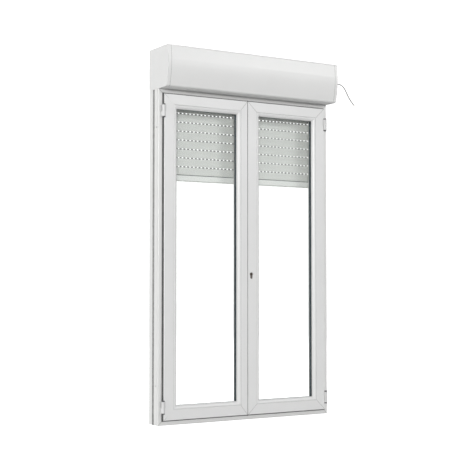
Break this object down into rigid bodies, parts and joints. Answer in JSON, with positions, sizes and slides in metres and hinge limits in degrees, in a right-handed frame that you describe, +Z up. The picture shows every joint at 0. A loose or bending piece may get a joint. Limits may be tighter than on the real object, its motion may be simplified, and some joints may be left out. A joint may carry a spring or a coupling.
{
  "type": "roller shutter motor in its window",
  "caption": "White PVC French window with a motorised roller shutter box on its head, the curtain part lowered and a tubular motor inside the winding tube.",
  "frame": {"origin": "middle of the sill's underside, on the room face of the outer frame", "axes": "+X along the width to the motor end, +Y from the room outdoors, +Z up"},
  "size_m": [1.3685, 0.24, 2.19],
  "materials": {
    "pvc_frame": "smooth extruded PVC, satin gloss",
    "pvc_sash": "smooth extruded PVC, satin gloss",
    "pvc_box": "smooth extruded PVC, satin gloss",
    "pvc_slat": "ribbed extruded PVC",
    "bar_alu": "powder coat",
    "galvanised": "galvanised",
    "seal_grey": "matt extruded rubber",
    "seal_dark": "matt extruded rubber",
    "spacer_slate": "dark warm-edge spacer",
    "pane": "clear float glass",
    "hinge_white": "powder coat",
    "pin_steel": "turned steel",
    "lock_steel": "zinc plated",
    "cylinder_bronze": "dark bronze plate",
    "brush_pile": "woven pile",
    "foam": "expanded polystyrene",
    "motor_paint": "zinc coated tube",
    "motor_plastic": "moulded nylon",
    "laminations": "stacked laminations with windings",
    "block_blue": "moulded glazing block",
    "lead_grey": "PVC sheath",
    "wire_colours": "coloured core insulation"
  },
  "bodies": {
    "root": {"frame_profiles": "pvc_frame", "frame_reinforcement": "galvanised", "frame_seal": "seal_grey", "joint_tapes": "seal_grey", "hinge_frame_halves": "hinge_white", "hinge_pins": "pin_steel", "guide_rails": "pvc_frame", "guide_brushes": "brush_pile", "box_front_cover": "pvc_box", "box_top_panel": "pvc_box", "box_back_panel": "pvc_box", "box_base_panel": "pvc_box", "box_insulation": "foam", "left_end_cap": "pvc_box", "right_end_cap": "pvc_box", "bearing_bracket": "galvanised", "idler_bearing": "pin_steel", "motor_bracket": "galvanised", "bracket_screws": "galvanised", "motor_tube": "motor_paint", "motor_head": "motor_plastic", "limit_switch_unit": "motor_plastic", "motor_capacitor": "motor_plastic", "motor_brake": "motor_paint", "motor_stator": "laminations", "planetary_gearbox": "motor_paint", "motor_lead_inner": "lead_grey", "lead_gland": "motor_plastic", "motor_lead": "lead_grey", "lead_wires": "wire_colours"},
    "left_leaf": {"left_sash_profiles": "pvc_sash", "left_glazing_beads": "pvc_sash", "left_glass_panes": "pane", "left_glass_spacer": "spacer_slate", "left_glazing_seals": "seal_dark", "left_sash_seal": "seal_grey", "left_sash_reinforcement": "galvanised", "left_setting_blocks": "block_blue", "left_hinge_halves": "hinge_white"},
    "right_leaf": {"right_sash_profiles": "pvc_sash", "right_glazing_beads": "pvc_sash", "right_glass_panes": "pane", "right_glass_spacer": "spacer_slate", "right_glazing_seals": "seal_dark", "right_sash_seal": "seal_grey", "right_sash_reinforcement": "galvanised", "right_setting_blocks": "block_blue", "right_hinge_halves": "hinge_white", "lock_case": "lock_steel", "profile_cylinder": "cylinder_bronze"},
    "lock_bolt": {"deadbolt": "lock_steel"},
    "key_barrel": {"key_plug": "cylinder_bronze"},
    "curtain": {"curtain_slats": "pvc_slat", "bottom_bar": "bar_alu", "bottom_bar_seal": "seal_grey"},
    "roller": {"wound_slats": "pvc_slat", "winding_tube": "galvanised", "limit_crown": "motor_plastic", "drive_wheel": "motor_plastic", "idler_plug": "motor_plastic"},
    "rotor": {"motor_rotor": "motor_paint"}
  },
  "joints": [
    {"name": "left_leaf_hinge", "type": "hinge", "parent": "root", "child": "left_leaf", "pos_m": [-0.576, -0.02, 0.963], "axis": [0, 0, -1], "range_deg": [0, 90]},
    {"name": "right_leaf_hinge", "type": "hinge", "parent": "root", "child": "right_leaf", "pos_m": [0.576, -0.02, 0.963], "axis": [0, 0, 1], "range_deg": [0, 90]},
    {"name": "key_turn", "type": "hinge", "parent": "right_leaf", "child": "key_barrel", "pos_m": [0.025, -0.005, 0.872], "axis": [0, -1, 0], "range_deg": [0, 360]},
    {"name": "deadbolt_slide", "type": "slide", "parent": "right_leaf", "child": "lock_bolt", "axis": [-1, 0, 0], "range_m": [0, 0.006]},
    {"name": "curtain_slide", "type": "slide", "parent": "root", "child": "curtain", "axis": [0, 0, 1], "range_m": [-0.11, 0.1]},
    {"name": "roller_spin", "type": "hinge", "parent": "root", "child": "roller", "pos_m": [0, 0.01515, 2.05], "axis": [1, 0, 0], "range_deg": [-85, 85]},
    {"name": "rotor_spin", "type": "hinge", "parent": "root", "child": "rotor", "pos_m": [0.33, 0.01515, 2.05], "axis": [1, 0, 0], "continuous": true}
  ],
  "couplings": [
    {"joint": "roller_spin", "follows": "curtain_slide", "rad_per_m": 12.683},
    {"joint": "key_turn", "follows": "deadbolt_slide", "rad_per_m": 1047.2}
  ]
}
